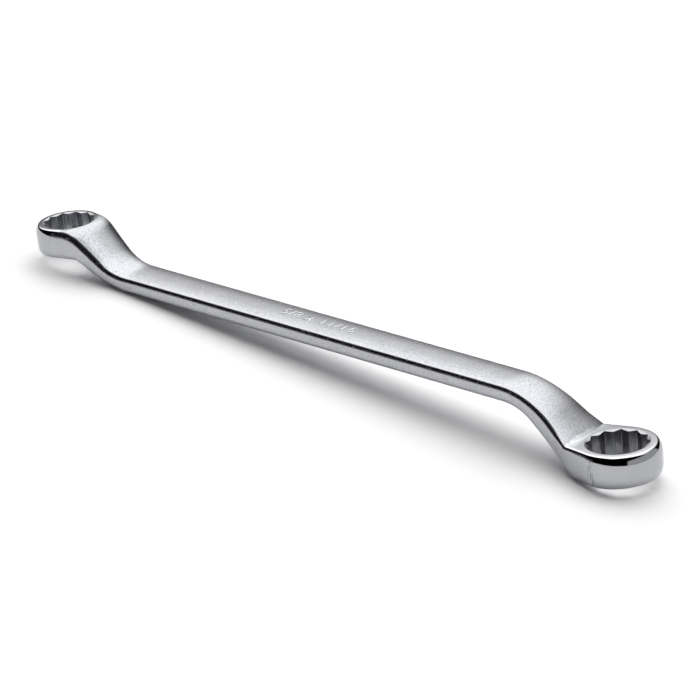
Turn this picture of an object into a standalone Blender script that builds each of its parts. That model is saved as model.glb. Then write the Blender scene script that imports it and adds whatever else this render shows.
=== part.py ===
"""Ring spanner: one steel forging with a twelve-point ring at each end of a flat, crowned shank.

Metres, +Z up. The spanner lies as it rests on a table, on the heel of its large ring and on the bend
beside its small ring. The origin is under the middle of its length, and the large ring is at +X.
"""

import math

import bmesh
import bpy
from mathutils import Matrix, Vector

# Shank: a flat bar with crowned broad faces and round edges
CENTRE_DISTANCE = 0.2315
SHANK_WIDTH = 0.0154
SHANK_THICKNESS = 0.00535
CROWN_ANGLE = math.radians(8)
CROWN_POWER = 2.4
EDGE_RADIUS = 0.0015

# Necks: in the side view each slopes from the shank to its ring, creased on one side, heeled on the
# other. Each side has its own crown, and round edges of one size along the neck and another at its root,
# where the neck meets the ring. The shares are of the neck's length, for the change to each size.
NECK_SLOPE = math.radians(37.2)
RING_TILT = math.radians(4.1)
CREASE_SIDE = {
    "bend": 0.0335,
    "crown": math.radians(11),
    "crown_fade": 0.0020,
    "neck_edge": 0.0020,
    "root_edge": 0.0013,
}
HEEL_SIDE = {
    "bend": 0.0185,
    "crown": math.radians(20),
    "crown_fade": 0.0050,
    "neck_edge": 0.0022,
    "root_edge": 0.0024,
}
NECK_EDGE_SHARE = 0.7
ROOT_EDGE_SHARE = 0.2
BOW_REACH = 0.004

# Rings: the offset is from the middle of the shank's thickness to the middle of the ring's height.
# Their round edges are taller than they are deep. In plan a hollow flare leads to each ring.
LARGE_RING = {
    "across_flats": 0.0176,
    "diameter": 0.0273,
    "height": 0.0107,
    "offset": 0.0141,
    "crease_back": 0.0127,
    "crease_fillet": 0.0005,
    "heel_back": 0.0106,
    "heel_fillet": 0.0062,
    "flare_radius": 0.135,
    "edge_reach": 0.0017,
    "edge_drop": 0.0035,
}
SMALL_RING = {
    "across_flats": 0.0160,
    "diameter": 0.0236,
    "height": 0.0101,
    "offset": 0.00955,
    "crease_back": 0.0110,
    "crease_fillet": 0.0005,
    "heel_back": 0.0091,
    "heel_fillet": 0.0090,
    "flare_radius": 0.190,
    "edge_reach": 0.0015,
    "edge_drop": 0.0028,
}

# Bores: twelve grooves with round bottoms, round lands between them, and a flat lead-in at each mouth
POINTS = 12
GROOVE_RADIUS = 0.0007
LAND_RADIUS = 0.0024
MOUTH_MARGIN = 0.00012
MOUTH_SLOPE = math.radians(20)
MOUTH_OVERRUN = 0.0001
CUTTER_OVERRUN = 0.001

# Facets
RING_STATIONS = 30
NECK_SPACING = 0.0021
CLOSEST_STATION_SHARE = 0.25
SHANK_STATIONS = 4
EDGE_STEPS = 4
ACROSS_STEPS = 6
GROOVE_STEPS = 3
LAND_STEPS = 2
MOUTH_STEPS = 72
SHARP_ANGLE = math.radians(30)
SETTLING_ROUNDS = 6


def direction(angle):
    return Vector((math.cos(angle), math.sin(angle)))


def eased(share):
    """0 to 1 with no kink at either end."""
    share = min(max(share, 0), 1)
    return share * share * (3 - 2 * share)


def bent_line(corners, radii):
    """A side-view line through four corners whose two inner ones are arcs, as pieces of
    (length, start, heading, curvature)."""
    runs = [after - before for before, after in zip(corners, corners[1:])]
    headings = [math.atan2(run.y, run.x) for run in runs]
    turns = [after - before for before, after in zip(headings, headings[1:])]
    setback_shares = [math.tan(abs(turn) / 2) for turn in turns]
    taken = sum(radius * share for radius, share in zip(radii, setback_shares))
    room = min(1, runs[1].length / taken)
    pieces = []
    start = corners[0]
    for corner, radius, heading, turn, share in zip(
        corners[1:], radii, headings, turns, setback_shares
    ):
        radius = radius * room
        bend = corner - direction(heading) * radius * share
        pieces.append(((bend - start).length, start, heading, 0))
        pieces.append((radius * abs(turn), bend, heading, math.copysign(1 / radius, turn)))
        start = corner + direction(heading + turn) * radius * share
    pieces.append(((corners[-1] - start).length, start, headings[-1], 0))
    return pieces


def point_along(pieces, distance):
    """The point of a bent line at this distance from its start. Past its end it runs on."""
    for length, start, heading, curvature in pieces[:-1]:
        if distance <= length:
            break
        distance -= length
    else:
        _, start, heading, curvature = pieces[-1]
    if not curvature:
        return start + direction(heading) * distance
    turned = heading + curvature * distance
    chord = Vector(
        (math.sin(turned) - math.sin(heading), math.cos(heading) - math.cos(turned))
    )
    return start + chord / curvature


def length_of(pieces):
    return sum(piece[0] for piece in pieces)


def joints_of(pieces):
    """Distances at which one piece of a bent line meets the next."""
    met, distance = [], 0
    for piece in pieces[:-1]:
        distance += piece[0]
        met.append(distance)
    return met


class End:
    """Half of the spanner, from the middle of the shank to the tip of one ring. It is worked out
    with its ring below the shank and at +X. The small end is the same shape given a half turn
    about Y, so its creased face looks down."""

    def __init__(self, ring, side):
        self.ring = ring
        self.side = side
        self.radius = ring["diameter"] / 2
        self.centre = Vector((CENTRE_DISTANCE / 2, -ring["offset"]))
        self.outward = direction(RING_TILT)
        self.upward = direction(RING_TILT + math.pi / 2)
        self.crease_line = self.face_line(1, 0)
        self.heel_line = self.face_line(-1, 0)
        self.measure_neck()
        self.measure_flare()

    def face_line(self, face, rise):
        """Side view of the creased face (1) or the heeled face (-1) where its crown rises this much.
        The ring's own face stays flat, so the crowned neck meets it in a bowed line."""
        bend = (CREASE_SIDE if face > 0 else HEEL_SIDE)["bend"]
        fillet = self.ring["crease_fillet" if face > 0 else "heel_fillet"]
        level = face * (SHANK_THICKNESS / 2 + rise)
        on_ring = self.centre + self.upward * face * self.ring["height"] / 2
        root = on_ring - self.outward * (self.root_back(face) - self.bow(face, rise))
        knee = Vector((root.x - (level - root.y) / math.tan(NECK_SLOPE), level))
        tip = on_ring + self.outward * self.radius
        return bent_line([Vector((0, level)), knee, root, tip], [bend, fillet])

    def root_back(self, face):
        """How far behind the bore's axis a face's slope meets the ring's face."""
        return self.ring["crease_back" if face > 0 else "heel_back"]

    def bow(self, face, rise):
        """How far a rise of the crown carries that meeting along the ring's face."""
        return face * rise / math.sin(NECK_SLOPE + RING_TILT)

    def measure_neck(self):
        """The stretch between square sections of the shank and of the ring, where the sections fan."""
        lines = (self.crease_line, self.heel_line)
        self.neck_start = min(line[0][0] for line in lines)
        self.face_ends = [length_of(line) - 2 * self.radius for line in lines]
        self.neck_end = sum(self.face_ends) / len(self.face_ends)
        self.centre_station = self.neck_end + self.radius

    def measure_flare(self):
        """The plan view's hollow arc, which touches the ring's circle and the shank's edge."""
        height = SHANK_WIDTH / 2 + self.ring["flare_radius"]
        span = self.radius + self.ring["flare_radius"]
        back = math.sqrt(span * span - height * height)
        self.flare_height = height
        self.flare_start = self.centre_station - back
        self.flare_angle = math.atan2(height, -back)
        self.flare_end = self.centre_station + self.radius * math.cos(self.flare_angle)

    def face_distance(self, station, face_end):
        """Distance along one face's line at a station of the middle line."""
        if station <= self.neck_start:
            return station
        if station >= self.neck_end:
            return face_end + station - self.neck_end
        share = (station - self.neck_start) / (self.neck_end - self.neck_start)
        return self.neck_start + share * (face_end - self.neck_start)

    def station_of(self, distance, face_end):
        """The station at which one face's line has come this far."""
        if distance >= face_end:
            return self.neck_end + distance - face_end
        share = (distance - self.neck_start) / (face_end - self.neck_start)
        return self.neck_start + share * (self.neck_end - self.neck_start)

    def section(self, station):
        """Where the section at a station meets the creased and the heeled face."""
        crease_end, heel_end = self.face_ends
        upper = point_along(self.crease_line, self.face_distance(station, crease_end))
        lower = point_along(self.heel_line, self.face_distance(station, heel_end))
        return upper, lower

    def stations(self):
        """From the ring's tip to the middle of the shank: (angle round the ring or None, station)."""
        found = []
        for step in range(RING_STATIONS + 1):
            angle = self.flare_angle * step / RING_STATIONS
            found.append((angle, self.centre_station + self.radius * math.cos(angle)))
        marks = {self.neck_start, self.flare_start}
        for line, face_end in zip((self.crease_line, self.heel_line), self.face_ends):
            marks |= {self.station_of(distance, face_end) for distance in joints_of(line)}
        last = found[-1][1]
        marks = sorted((mark for mark in marks if mark < last), reverse=True)
        apart = [marks[0]]
        for mark in marks[1:]:
            if apart[-1] - mark > NECK_SPACING * CLOSEST_STATION_SHARE:
                apart.append(mark)
        for mark in apart:
            steps = max(1, math.ceil((last - mark) / NECK_SPACING))
            found += [(None, last + (mark - last) * step / steps) for step in range(1, steps + 1)]
            last = mark
        found += [
            (None, last * (SHANK_STATIONS - step) / SHANK_STATIONS)
            for step in range(1, SHANK_STATIONS + 1)
        ]
        return found

    def half_width(self, angle, station, inset):
        """(station, half width) of the plan view's outline moved in by an inset."""
        if angle is not None:
            radius = self.radius - inset
            return self.centre_station + radius * math.cos(angle), radius * math.sin(angle)
        if station <= self.flare_start:
            return station, SHANK_WIDTH / 2 - inset
        reach = self.ring["flare_radius"] + inset
        across = math.sqrt(reach * reach - (station - self.flare_start) ** 2)
        return station, self.flare_height - across

    def root_station(self, face):
        return self.centre_station - self.root_back(face)

    def neck_crown(self, station, face):
        """Slope of a broad face beside its edge, from the shank's to the one the neck ends with."""
        neck = CREASE_SIDE if face > 0 else HEEL_SIDE
        along = (station - self.neck_start) / (self.neck_end - self.neck_start)
        return CROWN_ANGLE + (neck["crown"] - CROWN_ANGLE) * eased(2 * along)

    def crown_slope(self, station, face):
        """The same slope as the round edge meets it, which is none on the ring."""
        fade = (CREASE_SIDE if face > 0 else HEEL_SIDE)["crown_fade"]
        left = self.root_station(face) + fade / 2 - station
        return self.neck_crown(station, face) * eased(left / fade)

    def edge_size(self, station, face):
        """How far the round edge goes in from the side wall and down from the broad face."""
        neck = CREASE_SIDE if face > 0 else HEEL_SIDE
        root = self.root_station(face)
        along = (station - self.neck_start) / (root - self.neck_start)
        radius = EDGE_RADIUS + (neck["neck_edge"] - EDGE_RADIUS) * eased(along / NECK_EDGE_SHARE)
        before_root = eased((1 - along) / ROOT_EDGE_SHARE)
        radius = neck["root_edge"] + (radius - neck["root_edge"]) * before_root
        on_ring = eased((station - root) / self.radius)
        reach = radius + (self.ring["edge_reach"] - radius) * on_ring
        drop = radius + (self.ring["edge_drop"] - radius) * on_ring
        return reach, drop

    def edge_point(self, mark, face, turn_share):
        """A point of the round edge, from the side wall (0) to the broad face (1)."""
        face = face * self.side
        reach, drop = self.edge_size(mark[1], face)
        normal = turn_share * (math.pi / 2 - self.crown_slope(mark[1], face))
        turn = math.atan2(drop * math.sin(normal), reach * math.cos(normal))
        station, width = self.half_width(*mark, reach * (1 - math.cos(turn)))
        upper, lower = self.section(station)
        inward = (lower - upper).normalized() * face
        start = upper if face > 0 else lower
        return self.turned(start + inward * drop * (1 - math.sin(turn)), width)

    def crown_points(self, mark, face, across_shares):
        """Points of the broad face, at shares of the way from its middle (0) to its edges (-1 and 1).
        A point lies on the side-view line of its own rise, and past the root only until that line
        has run out on the flat of the ring."""
        edge = self.edge_point(mark, face, 1)
        face = face * self.side
        station, root = mark[1], self.root_station(face)
        widest = min(edge.y, self.half_width(None, min(root, self.flare_end), 0)[1])
        highest = widest * math.tan(self.neck_crown(min(station, root), face)) / CROWN_POWER
        along = min(max((station - self.neck_start) / (root - self.neck_start), 0), 1)
        settled = eased((station - root - BOW_REACH) / BOW_REACH)
        line = self.crease_line if face > 0 else self.heel_line
        distance = self.face_distance(station, self.face_ends[0 if face > 0 else 1])
        level = point_along(line, distance)
        points = []
        for share in across_shares:
            rise = highest * (1 - abs(share) ** CROWN_POWER)
            lifted = self.face_line(face, rise)
            grown = length_of(lifted) - length_of(line) + self.bow(face, rise)
            shift = (point_along(lifted, distance + grown * along) - level) * (1 - settled)
            points.append(Vector((edge.x, edge.y * share, edge.z)) + self.turned(shift, 0))
        return points

    def turned(self, side_view, width):
        """A side-view point and a width as a point of the spanner."""
        return Vector((self.side * side_view.x, width, self.side * side_view.y))

    def bore_frame(self):
        """Placing of a cutter whose axis is Z and whose middle is the bore's."""
        lean = Matrix.Rotation(-RING_TILT, 4, "Y")
        flip = Matrix.Rotation(0 if self.side > 0 else math.pi, 4, "Y")
        return flip @ Matrix.Translation((self.centre.x, 0, self.centre.y)) @ lean


def new_object(name, bm, material=None):
    bmesh.ops.recalc_face_normals(bm, faces=bm.faces)
    mesh = bpy.data.meshes.new(name)
    bm.to_mesh(mesh)
    bm.free()
    obj = bpy.data.objects.new(name, mesh)
    bpy.context.scene.collection.objects.link(obj)
    if material:
        mesh.materials.append(material)
    return obj


def satin_chrome():
    """Chrome plate over a bead-blasted forging."""
    material = bpy.data.materials.new("satin_chrome")
    material.use_nodes = True
    shader = material.node_tree.nodes["Principled BSDF"]
    shader.inputs["Base Color"].default_value = (0.55, 0.56, 0.57, 1)
    shader.inputs["Metallic"].default_value = 1
    shader.inputs["Roughness"].default_value = 0.3
    return material


def build_forging(large, small, material):
    """The forging without its bores, lofted from edge line to edge line and closed by its broad faces."""
    marks = [(large, mark) for mark in large.stations()]
    marks += [(small, mark) for mark in reversed(small.stations()[:-1])]
    bm = bmesh.new()

    turns = [step / EDGE_STEPS for step in range(EDGE_STEPS + 1)]
    levels = [(1, share) for share in reversed(turns)] + [(-1, share) for share in turns]
    loops = []
    for face, turn_share in levels:
        near = [bm.verts.new(end.edge_point(mark, face, turn_share)) for end, mark in marks]
        far = [bm.verts.new(vert.co * Vector((1, -1, 1))) for vert in near[1:-1]]
        loops.append((near, [near[0], *far, near[-1]]))
    for upper, lower in zip(loops, loops[1:]):
        for above, below in zip(upper, lower):
            for here in range(len(marks) - 1):
                bm.faces.new((above[here], above[here + 1], below[here + 1], below[here]))

    shares = [1 - 2 * step / ACROSS_STEPS for step in range(1, ACROSS_STEPS)]
    for face, (near, far) in ((1, loops[0]), (-1, loops[-1])):
        rows = [[near[0]]]
        for (end, mark), left, right in list(zip(marks, near, far))[1:-1]:
            inner = [bm.verts.new(point) for point in end.crown_points(mark, face, shares)]
            rows.append([left, *inner, right])
        rows.append([near[-1]])
        for row, after in zip(rows, rows[1:]):
            for step in range(ACROSS_STEPS):
                corners = [row[min(step, len(row) - 1)], row[min(step + 1, len(row) - 1)]]
                corners += [after[min(step + 1, len(after) - 1)], after[min(step, len(after) - 1)]]
                bm.faces.new(list(dict.fromkeys(corners)))
    return new_object("spanner_forging", bm, material)


def build_punch(name, end):
    """A twelve-point bar the shape of the bore: two hexagons a half step apart, with round corners."""
    apothem = end.ring["across_flats"] / 2
    step = math.pi / POINTS
    groove, land = apothem / math.cos(2 * step), apothem / math.cos(step)
    half = end.ring["height"] / 2 + CUTTER_OVERRUN
    bm = bmesh.new()
    corners = []
    for corner in range(2 * POINTS):
        at = direction(corner * step) * (land if corner % 2 else groove)
        corners.append(bm.verts.new((at.x, at.y, -half)))
    base = bm.faces.new(corners)
    raised = bmesh.ops.extrude_face_region(bm, geom=[base])["geom"]
    raised = [item for item in raised if isinstance(item, bmesh.types.BMVert)]
    bmesh.ops.translate(bm, verts=raised, vec=(0, 0, 2 * half))
    upright = [edge for edge in bm.edges if abs(edge.verts[0].co.z - edge.verts[1].co.z) > half]
    midway = (groove + land) / 2
    grooves = [edge for edge in upright if edge.verts[0].co.xy.length > midway]
    lands = [edge for edge in upright if edge.verts[0].co.xy.length < midway]
    for edges, radius, turn, segments in (
        (grooves, GROOVE_RADIUS, 2 * step, GROOVE_STEPS),
        (lands, LAND_RADIUS, step, LAND_STEPS),
    ):
        bmesh.ops.bevel(
            bm, geom=edges, offset=radius * math.tan(turn / 2), segments=segments,
            profile=0.5, affect="EDGES",
        )
    return place_cutter(new_object(name, bm), end)


def build_countersink(name, end):
    """A spool that opens both mouths of the bore just past the grooves."""
    apothem = end.ring["across_flats"] / 2
    mouth = apothem / math.cos(2 * math.pi / POINTS) + MOUTH_MARGIN
    waist = apothem - MOUTH_MARGIN
    half = end.ring["height"] / 2
    lip = mouth + MOUTH_OVERRUN / math.tan(MOUTH_SLOPE)
    depth = (mouth - waist) * math.tan(MOUTH_SLOPE)
    upper = [
        (lip, half + CUTTER_OVERRUN),
        (lip, half + MOUTH_OVERRUN),
        (waist, half - depth),
    ]
    profile = upper + [(radius, -height) for radius, height in reversed(upper)]
    bm = bmesh.new()
    spots = [bm.verts.new((radius, 0, height)) for radius, height in profile]
    line = [bm.edges.new(pair) for pair in zip(spots, spots[1:])]
    bmesh.ops.spin(
        bm, geom=spots + line, cent=(0, 0, 0), axis=(0, 0, 1),
        angle=math.tau, steps=MOUTH_STEPS, use_merge=True,
    )
    bmesh.ops.holes_fill(bm, edges=bm.edges, sides=0)
    return place_cutter(new_object(name, bm), end)


def place_cutter(cutter, end):
    cutter.matrix_world = end.bore_frame()
    cutter.hide_render = True
    cutter.display_type = "WIRE"
    return cutter


def cut(obj, cutter):
    modifier = obj.modifiers.new(cutter.name, "BOOLEAN")
    modifier.operation = "DIFFERENCE"
    modifier.solver = "EXACT"
    modifier.object = cutter


def resting_place(points):
    """The turn and the lift that set the lowest points of both halves on the table, with the
    middle of the length over the origin."""
    angle = 0
    for _ in range(SETTLING_ROUNDS):
        turn = Matrix.Rotation(angle, 3, "Y")
        placed = [(turn @ point, point) for point in points]
        near = min((pair for pair in placed if pair[1].x > 0), key=lambda pair: pair[0].z)[0]
        far = min((pair for pair in placed if pair[1].x < 0), key=lambda pair: pair[0].z)[0]
        angle += math.atan2(near.z - far.z, near.x - far.x)
    turned = [Matrix.Rotation(angle, 3, "Y") @ point for point in points]
    middle = (min(point.x for point in turned) + max(point.x for point in turned)) / 2
    lowest = min(point.z for point in turned)
    return Matrix.Translation((-middle, 0, -lowest)) @ Matrix.Rotation(angle, 4, "Y")


def main():
    for obj in list(bpy.data.objects):
        bpy.data.objects.remove(obj, do_unlink=True)
    large, small = End(LARGE_RING, 1), End(SMALL_RING, -1)
    spanner = build_forging(large, small, satin_chrome())
    rest = bpy.data.objects.new("table_rest", None)
    bpy.context.scene.collection.objects.link(rest)
    cutters = [
        build_punch("large_bore_punch", large),
        build_countersink("large_bore_countersink", large),
        build_punch("small_bore_punch", small),
        build_countersink("small_bore_countersink", small),
    ]
    for cutter in cutters:
        cut(spanner, cutter)
    for obj in [spanner, *cutters]:
        obj.parent = rest
    rest.matrix_world = resting_place([vert.co for vert in spanner.data.vertices])
    spanner.data.shade_smooth()
    spanner.data.set_sharp_from_angle(angle=SHARP_ANGLE)


main()
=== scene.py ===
# Ring spanner: a chrome-plated steel forging with a bi-hexagon ring at each end, resting on a pale floor.
# Metres and +Z up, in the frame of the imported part, with the large ring at +X.
import math

import bmesh
import bpy
from mathutils import Matrix, Vector
from mathutils.bvhtree import BVHTree


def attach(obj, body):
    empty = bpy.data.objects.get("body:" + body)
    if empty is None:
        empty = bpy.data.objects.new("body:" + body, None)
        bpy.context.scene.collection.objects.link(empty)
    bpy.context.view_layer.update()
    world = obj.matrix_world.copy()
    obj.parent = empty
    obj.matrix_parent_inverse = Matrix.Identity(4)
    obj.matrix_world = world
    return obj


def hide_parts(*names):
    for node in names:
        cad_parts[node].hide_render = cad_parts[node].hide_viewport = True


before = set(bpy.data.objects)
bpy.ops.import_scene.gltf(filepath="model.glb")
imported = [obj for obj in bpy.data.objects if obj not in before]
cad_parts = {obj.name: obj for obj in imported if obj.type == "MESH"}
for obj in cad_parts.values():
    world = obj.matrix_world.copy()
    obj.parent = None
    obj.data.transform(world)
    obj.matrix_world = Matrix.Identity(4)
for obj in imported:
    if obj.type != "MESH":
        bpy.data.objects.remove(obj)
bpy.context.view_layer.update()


# sRGB hex to linear red, green, blue and alpha, by the standard sRGB curve
def toLinear(hexColour):
    channels = [int(hexColour[at : at + 2], 16) / 255 for at in (1, 3, 5)]
    linear = [c / 12.92 if c <= 0.04045 else ((c + 0.055) / 1.055) ** 2.4 for c in channels]
    return (*linear, 1)


# Adds one node with its settings and links. A node given for an input is linked from its first output.
def addNode(tree, kind, inputs=None, **settings):
    node = tree.nodes.new("ShaderNode" + kind)
    for name, value in settings.items():
        setattr(node, name, value)
    for socket, value in (inputs or {}).items():
        if isinstance(value, bpy.types.Node):
            value = value.outputs[0]
        if isinstance(value, bpy.types.NodeSocket):
            tree.links.new(value, node.inputs[socket])
        else:
            node.inputs[socket].default_value = value
    return node


def newMaterial(name):
    material = bpy.data.materials.new(name)
    material.use_nodes = True
    tree = material.node_tree
    tree.nodes.clear()
    return material, tree


forging = {
    "centreDistance": 0.2315,
    "shankWidth": 0.0154,
    "shankThickness": 0.00535,
    "crownAngle": 8,  # degrees, slope of a broad face beside its edge
    "crownPower": 2.4,  # 2 is an arc, and more is flatter in the middle
    "bowReach": 0.004,  # past the crease, where the crown's lift starts to fade, over as long again
    "edgeRadius": 0.0015,
    "edgeDropShare": 1.4,  # round edges are taller than they are deep, as a draught in the die leaves them
    "swellShare": 0.7,  # of a neck, over which its edges swell
    "shrinkShare": 0.2,  # and over which they shrink again at its root
    "neckSlope": 37.2,  # degrees, between the shank and a neck
    "ringTilt": 4.1,  # degrees, between the shank and the rings' faces
    "creaseSideBend": 0.0335,  # radius of the bend between shank and neck
    "heelSideBend": 0.0185,
    "creaseFillet": 0.00004,
    "ringSteps": 90,
    "neckSpacing": 0.0003,
    "shankSpacing": 0.004,
    "edgeSteps": 12,
    "acrossSteps": 36,
    "sharpAngle": 14,  # degrees between two faces, from which their edge is shaded sharp
}
# Each neck is creased on one side and heeled on the other, and the round edges swell and shrink along it.
# Its crown is a slope in degrees, like crownAngle, and fades out where the ring begins.
creaseSide = {"crown": 11, "crownFade": 0.0020, "neckEdge": 0.0020, "rootEdge": 0.0013}
heelSide = {"crown": 20, "crownFade": 0.0050, "neckEdge": 0.0022, "rootEdge": 0.0024}
largeRing = {
    "acrossFlats": 0.0176,
    "diameter": 0.0273,
    "height": 0.0107,
    "offset": 0.0141,
    "creaseBack": 0.0127,
    "heelBack": 0.0106,
    "heelFillet": 0.0062,
    "flareRadius": 0.135,
    "edgeReach": 0.0017,  # the ring's round edges are taller than they are deep
    "edgeDrop": 0.0035,
    "dome": 0.00003,  # the polishing belt has taken this off the faces towards their rims
    "polishFrom": 0.0003,  # the wall is polished outward of here, measured from the ring's middle
    "beltMarks": 1,  # strength of the marks where the polish ends
    "boreSteel": "darkerBroachedSteel",
    "boreColour": "#7d7e82",
}
smallRing = {
    "acrossFlats": 0.0160,
    "diameter": 0.0236,
    "height": 0.0101,
    "offset": 0.00955,
    "creaseBack": 0.0110,
    "heelBack": 0.0091,
    "heelFillet": 0.0090,
    "flareRadius": 0.190,
    "edgeReach": 0.0015,
    "edgeDrop": 0.0028,
    "dome": 0.00003,
    "polishFrom": -0.0012,
    "beltMarks": 0.1,
    "boreSteel": "lighterBroachedSteel",  # the smaller bore's walls are given a lighter colour
    "boreColour": "#a7a8ac",
}
bore = {
    "points": 12,
    "grooveRadius": 0.0007,
    "landRadius": 0.0024,
    "mouthMargin": 0.00012,  # by which the lead-in is wider than the grooves
    "mouthSlope": 20,  # degrees, between the lead-in and the ring's face
    "overrun": 0.001,  # of the cutters past the ring's faces
    "grooveSteps": 8,
    "landSteps": 8,
    "mouthSteps": 288,
}


def heading(angle):
    return Vector((math.cos(angle), math.sin(angle)))


# A smooth step from 0 to 1
def eased(share):
    share = min(max(share, 0), 1)
    return share * share * (3 - 2 * share)


# A side-view line through four corners, rounded at the inner two: (length, start, heading, curvature)
def bentLine(corners, radii):
    runs = [after - before for before, after in zip(corners, corners[1:])]
    headings = [math.atan2(run.y, run.x) for run in runs]
    turns = [after - before for before, after in zip(headings, headings[1:])]
    setbackShares = [math.tan(abs(turn) / 2) for turn in turns]
    taken = sum(radius * share for radius, share in zip(radii, setbackShares))
    room = min(1, runs[1].length / taken)
    pieces = []
    start = corners[0]
    for corner, radius, angle, turn, share in zip(corners[1:], radii, headings, turns, setbackShares):
        radius = radius * room
        bend = corner - heading(angle) * radius * share
        pieces.append(((bend - start).length, start, angle, 0))
        pieces.append((radius * abs(turn), bend, angle, math.copysign(1 / radius, turn)))
        start = corner + heading(angle + turn) * radius * share
    pieces.append(((corners[-1] - start).length, start, headings[-1], 0))
    return pieces


def lineLength(pieces):
    return sum(piece[0] for piece in pieces)


def pointAlong(pieces, distance):
    for length, start, angle, curvature in pieces[:-1]:
        if distance <= length:
            break
        distance -= length
    else:
        _, start, angle, curvature = pieces[-1]
    if not curvature:
        return start + heading(angle) * distance
    turned = angle + curvature * distance
    chord = Vector((math.sin(turned) - math.sin(angle), math.cos(angle) - math.cos(turned)))
    return start + chord / curvature


# One half of the spanner, worked out with its ring below the shank and at +X. The small end is given
# a half turn about Y, so its creased face looks down.
class SpannerEnd:
    def __init__(self, ring, side):
        self.ring = ring
        self.side = side
        self.radius = ring["diameter"] / 2
        self.apothem = ring["acrossFlats"] / 2
        self.mouth = self.apothem / math.cos(2 * math.pi / bore["points"])  # out to the grooves' corners
        self.centre = Vector((forging["centreDistance"] / 2, -ring["offset"]))
        tilt = math.radians(forging["ringTilt"])
        self.outward = heading(tilt)
        self.upward = heading(tilt + math.pi / 2)
        self.creaseLine = self.faceLine(1, 0)
        self.heelLine = self.faceLine(-1, 0)
        lines = (self.creaseLine, self.heelLine)
        self.neckStart = min(line[0][0] for line in lines)
        self.faceEnds = [lineLength(line) - 2 * self.radius for line in lines]
        self.neckEnd = sum(self.faceEnds) / 2
        self.centreStation = self.neckEnd + self.radius
        self.flareHeight = forging["shankWidth"] / 2 + ring["flareRadius"]
        back = math.sqrt((self.radius + ring["flareRadius"]) ** 2 - self.flareHeight**2)
        self.flareStart = self.centreStation - back
        self.flareAngle = math.atan2(self.flareHeight, -back)
        self.lastFlare = self.centreStation + self.radius * math.cos(self.flareAngle)

    # The side view of the creased face (1) or the heeled face (-1) where the crown lifts it by a rise.
    # The ring's face stays flat, so a crowned neck meets it in a bowed line.
    def faceLine(self, face, rise):
        back, bend, fillet = (
            (self.ring["creaseBack"], forging["creaseSideBend"], forging["creaseFillet"])
            if face > 0
            else (self.ring["heelBack"], forging["heelSideBend"], self.ring["heelFillet"])
        )
        level = face * (forging["shankThickness"] / 2 + rise)
        slope = math.tan(math.radians(forging["neckSlope"]))
        onRing = self.centre + self.upward * face * self.ring["height"] / 2
        root = onRing - self.outward * (back - self.bow(face, rise))
        knee = Vector((root.x - (level - root.y) / slope, level))
        tip = onRing + self.outward * self.radius
        return bentLine([Vector((0, level)), knee, root, tip], [bend, fillet])

    def bow(self, face, rise):
        return face * rise / math.sin(math.radians(forging["neckSlope"] + forging["ringTilt"]))

    def faceDistance(self, station, faceEnd):
        if station <= self.neckStart:
            return station
        if station >= self.neckEnd:
            return faceEnd + station - self.neckEnd
        share = (station - self.neckStart) / (self.neckEnd - self.neckStart)
        return self.neckStart + share * (faceEnd - self.neckStart)

    def section(self, station):
        creaseEnd, heelEnd = self.faceEnds
        upper = pointAlong(self.creaseLine, self.faceDistance(station, creaseEnd))
        lower = pointAlong(self.heelLine, self.faceDistance(station, heelEnd))
        return upper, lower

    # From the ring's tip to the middle of the shank: (angle round the ring or None, station). Two rows
    # stand close beside the crease, so that its fillet is narrow.
    def stations(self):
        found = []
        for step in range(forging["ringSteps"] + 1):
            angle = self.flareAngle * step / forging["ringSteps"]
            found.append((angle, self.centreStation + self.radius * math.cos(angle)))
        last = found[-1][1]
        crease, fillet = self.rootStation(1), forging["creaseFillet"]
        for mark, spacing in (
            (crease + fillet, forging["neckSpacing"]),
            (crease - fillet, fillet),
            (self.neckStart, forging["neckSpacing"]),
            (0, forging["shankSpacing"]),
        ):
            steps = math.ceil((last - mark) / spacing)
            found += [(None, last + (mark - last) * step / steps) for step in range(1, steps + 1)]
            last = mark
        return found

    def halfWidth(self, angle, station, inset):
        if angle is not None:
            radius = self.radius - inset
            return self.centreStation + radius * math.cos(angle), radius * math.sin(angle)
        if station <= self.flareStart:
            return station, forging["shankWidth"] / 2 - inset
        reach = self.ring["flareRadius"] + inset
        across = math.sqrt(reach**2 - (station - self.flareStart) ** 2)
        return station, self.flareHeight - across

    # Station at which a face's line turns into the ring
    def rootStation(self, face):
        return self.centreStation - self.ring["creaseBack" if face > 0 else "heelBack"]

    # Slope of a broad face beside its edge, which changes over the first half of the neck
    def neckCrown(self, station, face):
        neck = creaseSide if face > 0 else heelSide
        along = (station - self.neckStart) / (self.neckEnd - self.neckStart)
        slope = forging["crownAngle"] + (neck["crown"] - forging["crownAngle"]) * eased(2 * along)
        return math.radians(slope)

    def crownSlope(self, station, face):
        neck = creaseSide if face > 0 else heelSide
        left = self.rootStation(face) + neck["crownFade"] / 2 - station
        return self.neckCrown(station, face) * eased(left / neck["crownFade"])

    # How far a round edge goes in from the side wall and down from the broad face
    def edgeSize(self, station, face):
        neck = creaseSide if face > 0 else heelSide
        root = self.rootStation(face)
        along = (station - self.neckStart) / (root - self.neckStart)
        swelled = eased(along / forging["swellShare"])
        swell = forging["edgeRadius"] + (neck["neckEdge"] - forging["edgeRadius"]) * swelled
        radius = neck["rootEdge"] + (swell - neck["rootEdge"]) * eased((1 - along) / forging["shrinkShare"])
        onRing = eased((station - root) / self.radius)
        reach = radius + (self.ring["edgeReach"] - radius) * onRing
        drop = radius * forging["edgeDropShare"]
        return reach, drop + (self.ring["edgeDrop"] - drop) * onRing

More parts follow.
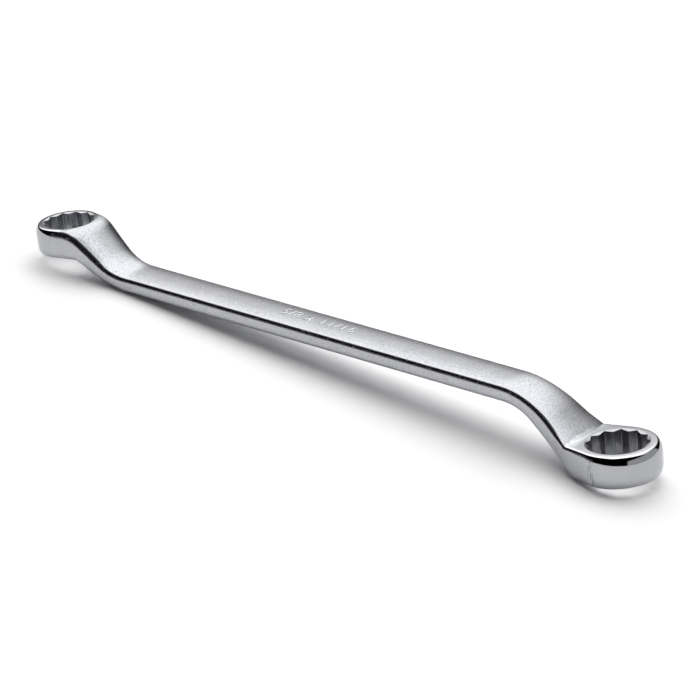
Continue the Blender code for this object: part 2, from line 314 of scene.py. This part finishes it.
    # How far the belt has taken the ring's face down where its round edge begins, and how steep it is there
    def domeSize(self, station, face):
        onRing = eased((station - self.rootStation(face)) / self.ring["edgeReach"])
        flat = self.radius - self.ring["edgeReach"] - self.mouth
        return self.ring["dome"] * onRing, 2 * self.ring["dome"] / flat * onRing

    # A point of the round edge, from the side wall (0) to the broad face (1)
    def edgePoint(self, mark, face, turnShare):
        face = face * self.side
        reach, drop = self.edgeSize(mark[1], face)
        dome, domeSlope = self.domeSize(mark[1], face)
        normal = turnShare * (math.pi / 2 - max(self.crownSlope(mark[1], face), domeSlope))
        turn = math.atan2((drop - dome) * math.sin(normal), reach * math.cos(normal))
        station, width = self.halfWidth(*mark, reach * (1 - math.cos(turn)))
        upper, lower = self.section(station)
        inward = (lower - upper).normalized() * face
        start = upper if face > 0 else lower
        return self.turned(start + inward * (drop - (drop - dome) * math.sin(turn)), width)

    # The points of the broad face between its two edges
    def crownPoints(self, mark, face, shares):
        edge = self.edgePoint(mark, face, 1)
        face = face * self.side
        power = forging["crownPower"]
        root = self.rootStation(face)
        widest = min(edge.y, self.halfWidth(None, min(root, self.lastFlare), 0)[1])
        highest = widest * math.tan(self.neckCrown(min(mark[1], root), face)) / power
        along = min(max((mark[1] - self.neckStart) / (root - self.neckStart), 0), 1)
        settled = eased((mark[1] - root - forging["bowReach"]) / forging["bowReach"])
        line = self.creaseLine if face > 0 else self.heelLine
        faceEnd = self.faceEnds[0 if face > 0 else 1]
        distance = self.faceDistance(mark[1], faceEnd)
        level = pointAlong(line, distance)
        dome = self.domeSize(mark[1], face)[0]
        fromCentre = mark[1] - self.centreStation
        domed = math.hypot(fromCentre, edge.y) - self.mouth
        points = []
        for share in shares:
            rise = highest * (1 - abs(share) ** power)
            lifted = self.faceLine(face, rise)
            grown = lineLength(lifted) - lineLength(line) + self.bow(face, rise)
            shift = (pointAlong(lifted, distance + grown * along) - level) * (1 - settled)
            worn = max(math.hypot(fromCentre, edge.y * share) - self.mouth, 0) / domed
            shift += self.upward * face * dome * (1 - worn * worn)
            points.append(Vector((edge.x, edge.y * share, edge.z)) + self.turned(shift, 0))
        return points

    def turned(self, sideView, width):
        return Vector((self.side * sideView.x, width, self.side * sideView.y))

    def boreFrame(self):
        lean = Matrix.Rotation(-math.radians(forging["ringTilt"]), 4, "Y")
        flip = Matrix.Rotation(0 if self.side > 0 else math.pi, 4, "Y")
        return flip @ Matrix.Translation((self.centre.x, 0, self.centre.y)) @ lean


def newObject(name, bm, materials):
    bmesh.ops.recalc_face_normals(bm, faces=bm.faces)
    mesh = bpy.data.meshes.new(name)
    bm.to_mesh(mesh)
    bm.free()
    for material in materials:
        mesh.materials.append(material)
    thing = bpy.data.objects.new(name, mesh)
    bpy.context.scene.collection.objects.link(thing)
    return thing


# The forging without its bores: edge lines lofted from one to the next, closed by the broad faces
def loftForging(ends, material):
    large, small = ends
    marks = [(large, mark) for mark in large.stations()]
    marks += [(small, mark) for mark in reversed(small.stations()[:-1])]
    bm = bmesh.new()
    turns = [step / forging["edgeSteps"] for step in range(forging["edgeSteps"] + 1)]
    levels = [(1, share) for share in reversed(turns)] + [(-1, share) for share in turns]
    loops = []
    for face, turnShare in levels:
        near = [bm.verts.new(end.edgePoint(mark, face, turnShare)) for end, mark in marks]
        far = [bm.verts.new(vert.co * Vector((1, -1, 1))) for vert in near[1:-1]]
        loops.append((near, [near[0], *far, near[-1]]))
    for upper, lower in zip(loops, loops[1:]):
        for above, below in zip(upper, lower):
            for here in range(len(marks) - 1):
                bm.faces.new((above[here], above[here + 1], below[here + 1], below[here]))
    steps = forging["acrossSteps"]
    shares = [1 - 2 * step / steps for step in range(1, steps)]
    for face, (near, far) in ((1, loops[0]), (-1, loops[-1])):
        rows = [[near[0]] * (steps + 1)]
        for (end, mark), left, right in list(zip(marks, near, far))[1:-1]:
            inner = [bm.verts.new(point) for point in end.crownPoints(mark, face, shares)]
            rows.append([left, *inner, right])
        rows.append([near[-1]] * (steps + 1))
        for row, after in zip(rows, rows[1:]):
            for step in range(steps):
                corners = (row[step], row[step + 1], after[step + 1], after[step])
                bm.faces.new(list(dict.fromkeys(corners)))
    return newObject("spannerForging", bm, [material])


# Two hexagons a half step apart, with round corners, drawn out along the bore
def buildPunch(end, material):
    step = math.pi / bore["points"]
    groove, land = end.mouth, end.apothem / math.cos(step)
    half = end.ring["height"] / 2 + bore["overrun"]
    bm = bmesh.new()
    corners = []
    for corner in range(2 * bore["points"]):
        at = heading(corner * step) * (land if corner % 2 else groove)
        corners.append(bm.verts.new((at.x, at.y, -half)))
    raised = bmesh.ops.extrude_face_region(bm, geom=[bm.faces.new(corners)])["geom"]
    raised = [item for item in raised if isinstance(item, bmesh.types.BMVert)]
    bmesh.ops.translate(bm, verts=raised, vec=(0, 0, 2 * half))
    upright = [edge for edge in bm.edges if abs(edge.verts[0].co.z - edge.verts[1].co.z) > half]
    midway = (groove + land) / 2
    grooves = [edge for edge in upright if edge.verts[0].co.xy.length > midway]
    lands = [edge for edge in upright if edge.verts[0].co.xy.length < midway]
    for edges, radius, turn, segments in (
        (grooves, bore["grooveRadius"], 2 * step, bore["grooveSteps"]),
        (lands, bore["landRadius"], step, bore["landSteps"]),
    ):
        bmesh.ops.bevel(
            bm, geom=edges, offset=radius * math.tan(turn / 2), segments=segments,
            profile=0.5, affect="EDGES",
        )
    return placeCutter("punch", bm, end, material)


# A spool that opens both mouths just past the grooves
def buildCountersink(end, material):
    slope = math.tan(math.radians(bore["mouthSlope"]))
    mouth = end.mouth + bore["mouthMargin"]
    waist = end.apothem - bore["mouthMargin"]
    half = end.ring["height"] / 2
    lip = bore["mouthMargin"]
    upper = [
        (mouth + lip / slope, half + bore["overrun"]),
        (mouth + lip / slope, half + lip),
        (waist, half - (mouth - waist) * slope),
    ]
    profile = upper + [(radius, -height) for radius, height in reversed(upper)]
    bm = bmesh.new()
    spots = [bm.verts.new((radius, 0, height)) for radius, height in profile]
    line = [bm.edges.new(pair) for pair in zip(spots, spots[1:])]
    bmesh.ops.spin(
        bm, geom=spots + line, cent=(0, 0, 0), axis=(0, 0, 1),
        angle=math.tau, steps=bore["mouthSteps"], use_merge=True,
    )
    bmesh.ops.holes_fill(bm, edges=bm.edges, sides=0)
    return placeCutter("countersink", bm, end, material)


def placeCutter(name, bm, end, material):
    cutter = newObject(name, bm, [material])
    cutter.matrix_world = end.boreFrame()
    return cutter


def cutFrom(body, cutters):
    for cutter in cutters:
        modifier = body.modifiers.new(cutter.name, "BOOLEAN")
        modifier.operation = "DIFFERENCE"
        modifier.solver = "EXACT"
        modifier.material_mode = "TRANSFER"
        modifier.object = cutter
    bpy.context.view_layer.update()
    evaluated = body.evaluated_get(bpy.context.evaluated_depsgraph_get())
    body.data = bpy.data.meshes.new_from_object(evaluated)
    body.modifiers.clear()
    for cutter in cutters:
        bpy.data.objects.remove(cutter)


# Sets the lowest points of both halves on the table, with the middle of the length over the origin
def restingPlace(points):
    angle = 0
    rounds = 6  # other points can become the lowest as it turns, so it is levelled again
    for _ in range(rounds):
        turn = Matrix.Rotation(angle, 3, "Y")
        placed = [(turn @ point, point) for point in points]
        near = min((pair for pair in placed if pair[1].x > 0), key=lambda pair: pair[0].z)[0]
        far = min((pair for pair in placed if pair[1].x < 0), key=lambda pair: pair[0].z)[0]
        angle += math.atan2(near.z - far.z, near.x - far.x)
    turned = [Matrix.Rotation(angle, 3, "Y") @ point for point in points]
    middle = (min(point.x for point in turned) + max(point.x for point in turned)) / 2
    lowest = min(point.z for point in turned)
    return Matrix.Translation((-middle, 0, -lowest)) @ Matrix.Rotation(angle, 4, "Y")


polish = {
    "heelMargin": 0.004,  # a heeled face is polished from this far past the foot of its heel
    "cornerDepth": 0.0008,  # below a ring's face, where the wall's painted-shade colour and belt marks start to turn into the face's painted-highlight colour
    "cornerHeight": 0.00064,  # over which it does
}


# How far each point lies inside the polished zone, in millimetres (outside, it is negative), how much it
# counts as part of the wall, painted darker than the face as painted shade, and how much of the belt's
# marks it shows
def markPolish(mesh, ends):
    millimetres = 1000  # in a metre
    frames = [(end, end.boreFrame().inverted()) for end in ends]
    reach = mesh.attributes.new("polishReach", "FLOAT", "POINT")
    shadedWallShare = mesh.attributes.new("shadedWallShare", "FLOAT", "POINT")
    beltMarks = mesh.attributes.new("beltMarks", "FLOAT", "POINT")
    for vert in mesh.vertices:
        end, into = frames[0] if vert.co.x > 0 else frames[1]
        at = into @ vert.co
        half = end.ring["height"] / 2
        wall = at.x - end.ring["polishFrom"]
        back = end.ring["creaseBack"] if at.z > 0 else end.ring["heelBack"] - polish["heelMargin"]
        face = at.x + back
        onFace = eased((abs(at.z) - half + polish["cornerDepth"]) / polish["cornerHeight"])
        reach.data[vert.index].value = millimetres * (wall + (face - wall) * onFace)
        shadedWallShare.data[vert.index].value = 1 - onFace
        beltMarks.data[vert.index].value = end.ring["beltMarks"] * (1 - onFace)


noiseMiddle = 0.5  # of Blender's noise textures


def spannerChrome():
    # Bright chromium over a bead-blasted forging, with belt-polished ring ends: satin where blasted,
    # so it shows soft gradients, a fine grain and a few pits, and nearly a mirror where polished.
    # A pair says where something is gone and where it is full. Depths are in millimetres inside the
    # polished zone, and levels are those of the pattern's noise.
    finish = {
        "satinColour": "#b1b2b6",
        # The rings' polished chrome comes in two colours: the faces lighter, as a painted highlight, and
        # the walls darker, as painted shade
        "litFaceColour": "#d3d4d8",
        "shadedWallColour": "#abacb0",  # painted shade: the rings' walls are coloured darker than their faces
        "satinRoughness": 0.25,
        "polishedRoughness": 0.09,
        "polishDepths": (-0.35, 0.35),
        "rags": 0.0011,  # the polish ends in a ragged line
        "ragDepth": 1.6,  # millimetres from one end of its wander to the other
        "grain": 0.0004,  # bead marks are finer, drawn as coarse as one pixel shows them
        "grainHeight": 0.000012,
        "grainTone": 1.0,  # how much the grain darkens and lightens the plate
        "pits": 0.0009,
        "pitLevels": (0.68, 0.74),
        "pitDepth": 0.00003,
        "pitTone": -0.15,
        "smudges": 0.009,  # where the plate has been handled
        "smudgeTone": 0.2,
        "streaks": 0.0004,  # marks that the belt leaves where its polish ends, drawn as coarse as a pixel
        "streakStretch": (1, 0.5, 0.12),  # less than 1 draws them out: they run down the wall
        "streakTurn": 0.3,  # radians, by which their noise is turned
        "streakLevels": (0.48, 0.58),
        "outerStreakDepths": (-3.0, -1.6),
        "innerStreakDepths": (0.3, -0.2),
        "streakTone": -0.55,
        "waves": 0.006,  # slow hollows in the plate
        "waveHeight": 0.000006,
    }
    material, tree = newMaterial("satinChromePlate")
    place = addNode(tree, "TexCoord").outputs["Object"]
    stretched = addNode(
        tree, "Mapping",
        {"Vector": place, "Rotation": (0, finish["streakTurn"], 0), "Scale": finish["streakStretch"]},
    )
    noises = {}
    for name, detail, where in (
        ("rags", 4, place),
        ("grain", 3, place),
        ("pits", 1, place),
        ("smudges", 4, place),
        ("streaks", 3, stretched),
        ("waves", 1, place),
    ):
        pattern = {"Vector": where, "Scale": 1 / finish[name], "Detail": detail}
        noises[name] = addNode(tree, "TexNoise", pattern)
    marked = {}
    for name in ("polishReach", "shadedWallShare", "beltMarks"):
        marked[name] = addNode(tree, "Attribute", attribute_name=name).outputs["Fac"]

    wander = addNode(
        tree, "Math",
        {0: noises["rags"], 1: finish["ragDepth"], 2: -finish["ragDepth"] * noiseMiddle},
        operation="MULTIPLY_ADD",
    )
    depth = addNode(tree, "Math", {0: marked["polishReach"], 1: wander}, operation="ADD")
    shares = {}
    for name, value, (gone, full) in (
        ("polished", depth, finish["polishDepths"]),
        ("pits", noises["pits"], finish["pitLevels"]),
        ("streaks", noises["streaks"], finish["streakLevels"]),
        ("outerStreaks", depth, finish["outerStreakDepths"]),
        ("innerStreaks", depth, finish["innerStreakDepths"]),
    ):
        limits = {"Value": value, "From Min": gone, "From Max": full}
        shares[name] = addNode(tree, "MapRange", limits, interpolation_type="SMOOTHSTEP")
    polished = shares["polished"]
    blasted = addNode(tree, "Math", {0: 1, 1: polished}, operation="SUBTRACT")
    pits = addNode(tree, "Math", {0: shares["pits"], 1: blasted}, operation="MULTIPLY")
    streaks = marked["beltMarks"]
    for name in ("streaks", "outerStreaks", "innerStreaks"):
        streaks = addNode(tree, "Math", {0: streaks, 1: shares[name]}, operation="MULTIPLY")

    grain = addNode(tree, "Math", {0: noises["grain"], 1: noiseMiddle}, operation="SUBTRACT")
    grain = addNode(tree, "Math", {0: grain, 1: blasted}, operation="MULTIPLY")
    smudges = addNode(tree, "Math", {0: noises["smudges"], 1: noiseMiddle}, operation="SUBTRACT")
    tone = 1
    for pattern, strength in (
        (grain, finish["grainTone"]),
        (smudges, finish["smudgeTone"]),
        (pits, finish["pitTone"]),
        (streaks, finish["streakTone"]),
    ):
        tone = addNode(tree, "Math", {0: pattern, 1: strength, 2: tone}, operation="MULTIPLY_ADD")
    # A Mix node takes its share at socket 0, numbers at 2 and 3, and colours at 6 and 7
    # Painted highlight and painted shade on the polished rings: the faces take the lighter colour and the
    # walls the darker one
    litFaceShadedWallColour = addNode(
        tree, "Mix",
        {0: marked["shadedWallShare"], 6: toLinear(finish["litFaceColour"]), 7: toLinear(finish["shadedWallColour"])},
        data_type="RGBA",
    )
    colour = addNode(
        tree, "Mix",
        {0: polished, 6: toLinear(finish["satinColour"]), 7: litFaceShadedWallColour.outputs[2]},
        data_type="RGBA",
    )
    toned = addNode(tree, "VectorMath", {0: colour.outputs[2], "Scale": tone}, operation="SCALE")
    roughness = addNode(
        tree, "Mix", {0: polished, 2: finish["satinRoughness"], 3: finish["polishedRoughness"]}
    )
    dug = addNode(
        tree, "Math",
        {0: pits, 1: -finish["pitDepth"] / finish["grainHeight"], 2: noises["grain"]},
        operation="MULTIPLY_ADD",
    )
    grainBump = addNode(
        tree, "Bump", {"Strength": blasted, "Distance": finish["grainHeight"], "Height": dug}
    )
    waveBump = addNode(
        tree, "Bump",
        {"Strength": 1, "Distance": finish["waveHeight"], "Height": noises["waves"], "Normal": grainBump},
    )
    shader = addNode(
        tree, "BsdfPrincipled",
        {"Base Color": toned, "Metallic": 1, "Roughness": roughness, "Normal": waveBump},
    )
    addNode(tree, "OutputMaterial", {"Surface": shader})
    return material


def broachedSteel(ring):
    # Bore walls: steel cut by a broach and then plated, in a colour given for each ring, darker than the
    # outside, with marks along the bore
    finish = {
        "roughness": 0.22,
        "marks": 0.0005,  # the marks of a broach's teeth are finer, drawn as coarse as a pixel shows them
        "markStretch": 0.1,  # less than 1 draws them out along the bore
        "markHeight": 0.00003,
        "markTone": 1.6,
    }
    material, tree = newMaterial(ring["boreSteel"])
    place = addNode(tree, "TexCoord").outputs["Object"]
    stretched = addNode(tree, "Mapping", {"Vector": place, "Scale": (1, 1, finish["markStretch"])})
    marks = addNode(tree, "TexNoise", {"Vector": stretched, "Scale": 1 / finish["marks"], "Detail": 3})
    bump = addNode(tree, "Bump", {"Strength": 1, "Distance": finish["markHeight"], "Height": marks})
    tone = addNode(
        tree, "Math",
        {0: marks, 1: finish["markTone"], 2: 1 - finish["markTone"] * noiseMiddle},
        operation="MULTIPLY_ADD",
    )
    colour = addNode(
        tree, "VectorMath", {0: toLinear(ring["boreColour"])[:3], "Scale": tone}, operation="SCALE"
    )
    shader = addNode(
        tree, "BsdfPrincipled",
        {"Base Color": colour, "Metallic": 1, "Roughness": finish["roughness"], "Normal": bump},
    )
    addNode(tree, "OutputMaterial", {"Surface": shader})
    return material


def turnedChrome():
    # Lead-in cones at the mouths, turned and then plated: bright, with a faint unevenness left by the tool
    finish = {
        "colour": "#a9aaad",
        "roughness": 0.28,
        "chatter": 0.0008,  # a tool's marks are finer, drawn as coarse as a pixel shows them
        "chatterHeight": 0.000008,
    }
    material, tree = newMaterial("turnedChrome")
    place = addNode(tree, "TexCoord").outputs["Object"]
    chatter = addNode(tree, "TexNoise", {"Vector": place, "Scale": 1 / finish["chatter"], "Detail": 2})
    bump = addNode(tree, "Bump", {"Strength": 1, "Distance": finish["chatterHeight"], "Height": chatter})
    shader = addNode(
        tree, "BsdfPrincipled",
        {
            "Base Color": toLinear(finish["colour"]),
            "Metallic": 1,
            "Roughness": finish["roughness"],
            "Normal": bump,
        },
    )
    addNode(tree, "OutputMaterial", {"Surface": shader})
    return material


def buildSpanner():
    chrome, leadIn = spannerChrome(), turnedChrome()
    ends = (SpannerEnd(largeRing, 1), SpannerEnd(smallRing, -1))
    spanner = loftForging(ends, chrome)
    rest = restingPlace([vert.co for vert in spanner.data.vertices])
    cutters = []
    for end in ends:
        wall = broachedSteel(end.ring)
        cutters += [buildPunch(end, wall), buildCountersink(end, leadIn)]
    cutFrom(spanner, cutters)
    markPolish(spanner.data, ends)
    spanner.data.transform(rest)
    spanner.data.shade_smooth()
    spanner.data.set_sharp_from_angle(angle=math.radians(forging["sharpAngle"]))
    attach(spanner, "root")
    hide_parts("spanner_forging")
    print("spanner:", len(spanner.data.polygons), "faces")
    return spanner, rest, chrome


# The two sizes across flats, in inches, raised on the shank's upper face with their feet towards the camera
sizeNumbers = {
    "text": "5/8 x 11/16",
    "fontSize": 0.0060,
    "middle": (-0.0045, 0.0006),
    "spacing": 1.12,
    "thinned": 0.0002,
    "proud": 0.00016,
    "sunk": 0.0001,
    "roundness": 0.00026,
    "flattened": 0.4,  # their round edges are lower than they are wide, so that a die lets go of them
    "rubbedAndLit": 0.7,  # millimetres inside the polished zone, which gives them the rings' faces' painted-highlight colour and makes them nearly as bright as the rings
    "edgeSteps": 3,
    "curveSteps": 6,
    "dropHeight": 0.02,  # above the middle plane, from where they are set down on the shank
    "sharpAngle": 40,
}


def buildSizeNumbers(spanner, rest, chrome):
    letters = bpy.data.curves.new("sizeNumbers", "FONT")
    letters.body = sizeNumbers["text"]
    letters.size = sizeNumbers["fontSize"]
    letters.space_character = sizeNumbers["spacing"]
    letters.align_x = letters.align_y = "CENTER"
    letters.offset = -sizeNumbers["thinned"]
    height = sizeNumbers["proud"] + sizeNumbers["sunk"]
    letters.extrude = height / 2 / sizeNumbers["flattened"] - sizeNumbers["roundness"]
    letters.bevel_depth = sizeNumbers["roundness"]
    letters.bevel_resolution = sizeNumbers["edgeSteps"]
    letters.resolution_u = sizeNumbers["curveSteps"]
    typed = bpy.data.objects.new("typed", letters)
    bpy.context.scene.collection.objects.link(typed)
    bpy.context.view_layer.update()
    bm = bmesh.new()
    bm.from_mesh(typed.evaluated_get(bpy.context.evaluated_depsgraph_get()).to_mesh())
    bpy.data.objects.remove(typed)
    shank = BVHTree.FromPolygons(
        [vert.co for vert in spanner.data.vertices], [face.vertices for face in spanner.data.polygons]
    )
    middle = Vector((*sizeNumbers["middle"], 0))
    lift = (sizeNumbers["proud"] - sizeNumbers["sunk"]) / 2
    down = rest.to_3x3() @ Vector((0, 0, -1))
    for vert in bm.verts:
        above = rest @ (vert.co + middle + Vector((0, 0, sizeNumbers["dropHeight"])))
        surface = shank.ray_cast(above, down)[0]
        vert.co = surface - down * (vert.co.z * sizeNumbers["flattened"] + lift)
    numbers = newObject("raisedSizeNumbers", bm, [chrome])
    # The numbers take the rings' faces' colour, which is painted lighter: a painted highlight on their
    # polished tops
    reach = numbers.data.attributes.new("polishReach", "FLOAT", "POINT")
    for spot in reach.data:
        spot.value = sizeNumbers["rubbedAndLit"]
    numbers.data.shade_smooth()
    numbers.data.set_sharp_from_angle(angle=math.radians(sizeNumbers["sharpAngle"]))
    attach(numbers, "root")
    print("size numbers:", len(numbers.data.polygons), "faces")


def buildFloor():
    # A flat sheet of pale matt paper, so it takes the shadow. To the camera and in reflections it is
    # about half again as bright as the light makes it.
    paper = {"size": 6.0, "colour": "#f0f0f0", "seenGain": 1.54}
    material, tree = newMaterial("paleMattPaper")
    rays = addNode(tree, "LightPath").outputs
    seen = rays["Is Camera Ray"]
    for name in ("Is Glossy Ray", "Is Transmission Ray"):
        seen = addNode(tree, "Math", {0: seen, 1: rays[name]}, operation="ADD", use_clamp=True)
    gain = addNode(tree, "Math", {0: seen, 1: paper["seenGain"] - 1, 2: 1}, operation="MULTIPLY_ADD")
    colour = addNode(
        tree, "VectorMath", {0: toLinear(paper["colour"])[:3], "Scale": gain}, operation="SCALE"
    )
    shader = addNode(tree, "BsdfDiffuse", {"Color": colour})
    addNode(tree, "OutputMaterial", {"Surface": shader})
    bm = bmesh.new()
    bmesh.ops.create_grid(bm, x_segments=1, y_segments=1, size=paper["size"] / 2)
    floor = newObject("paperFloor", bm, [material])
    print("floor:", paper["size"], "m square")


def buildLight():
    # A wide softbox over the bench that reaches far behind the spanner, and a dim white wall on the
    # right. The side the camera stands on is dark, which draws the black line along each near edge.
    # Each edge is a pair of angles in degrees: where the light is gone, and where it is full. Back, front
    # and top are counted from the horizon on the light's side, right and left from straight overhead,
    # and side from the wall's middle. An azimuth is counted from +X towards +Y.
    softbox = {
        "azimuth": 135,
        "back": (5, 33),
        "front": (103, 99),
        "right": (64, 20),
        "left": (25, 21),
        "leftSlant": 0.6,  # the left edge leans further left towards the back, by this share of the way
        "radiance": 2.5,
    }
    wall = {"azimuth": 18, "side": (52, 49), "top": (42, 36), "radiance": 0.74}
    world = bpy.data.worlds.new("studio")
    bpy.context.scene.world = world
    world.use_nodes = True
    tree = world.node_tree
    tree.nodes.clear()
    towards = addNode(tree, "TexCoord").outputs["Generated"]

    # The direction of a ray, as seen by someone who faces the azimuth: ahead, to the left and up
    def facing(azimuth):
        angle = -math.radians(azimuth)
        turned = addNode(tree, "VectorRotate", {"Vector": towards, "Angle": angle}, rotation_type="Z_AXIS")
        return addNode(tree, "SeparateXYZ", {0: turned}).outputs

    # How much of a light is left at the angle that a rise and a run make, beside one of its edges
    def fade(rise, run, edge):
        angle = addNode(tree, "Math", {0: rise, 1: run}, operation="ARCTAN2")
        limits = {"Value": angle, "From Min": math.radians(edge[0]), "From Max": math.radians(edge[1])}
        return addNode(tree, "MapRange", limits, interpolation_type="SMOOTHSTEP")

    behind, leftward, upward = facing(softbox["azimuth"])
    rightward = addNode(tree, "Math", {0: leftward, 1: -1}, operation="MULTIPLY")
    slant = addNode(tree, "Math", {0: behind, 1: 0}, operation="MAXIMUM")
    slant = addNode(tree, "Math", {0: slant, 1: softbox["leftSlant"]}, operation="MULTIPLY")
    slanted = addNode(tree, "Math", {0: leftward, 1: slant}, operation="SUBTRACT")
    glow = softbox["radiance"]
    for share in (
        fade(upward, behind, softbox["back"]),
        fade(upward, behind, softbox["front"]),
        fade(rightward, upward, softbox["right"]),
        fade(slanted, upward, softbox["left"]),
    ):
        glow = addNode(tree, "Math", {0: share, 1: glow}, operation="MULTIPLY")

    ahead, aside, upward = facing(wall["azimuth"])
    aside = addNode(tree, "Math", {0: aside}, operation="ABSOLUTE")
    card = wall["radiance"]
    for share in (fade(aside, ahead, wall["side"]), fade(upward, ahead, wall["top"])):
        card = addNode(tree, "Math", {0: share, 1: card}, operation="MULTIPLY")

    brighter = addNode(tree, "Math", {0: glow, 1: card}, operation="MAXIMUM")
    light = addNode(tree, "Background", {"Strength": brighter})
    addNode(tree, "OutputWorld", {"Surface": light})
    print("light: softbox at", softbox["azimuth"], "degrees and wall at", wall["azimuth"])


def buildCamera():
    # At the photograph's viewing angle, given by the directions to the right of its frame and into it
    view = {
        "location": (0.62862, -0.75479, 0.50020),
        "right": (0.76612, 0.64241, 0.01933),
        "forward": (-0.56702, 0.68977, -0.45023),
        "lens": 173.963,
        "clipStart": 0.05,
    }
    back = -Vector(view["forward"]).normalized()
    up = back.cross(Vector(view["right"])).normalized()
    turn = Matrix((up.cross(back), up, back)).transposed()
    camera = bpy.data.objects.new("camera", bpy.data.cameras.new("camera"))
    bpy.context.scene.collection.objects.link(camera)
    camera.location = view["location"]
    camera.rotation_euler = turn.to_euler()
    camera.data.lens = view["lens"]
    camera.data.clip_start = view["clipStart"]
    bpy.context.scene.camera = camera
    print("camera turn, degrees:", [round(math.degrees(angle), 4) for angle in camera.rotation_euler])


buildSizeNumbers(*buildSpanner())
buildFloor()
buildLight()
buildCamera()
bpy.context.scene.view_settings.view_transform = "Standard"
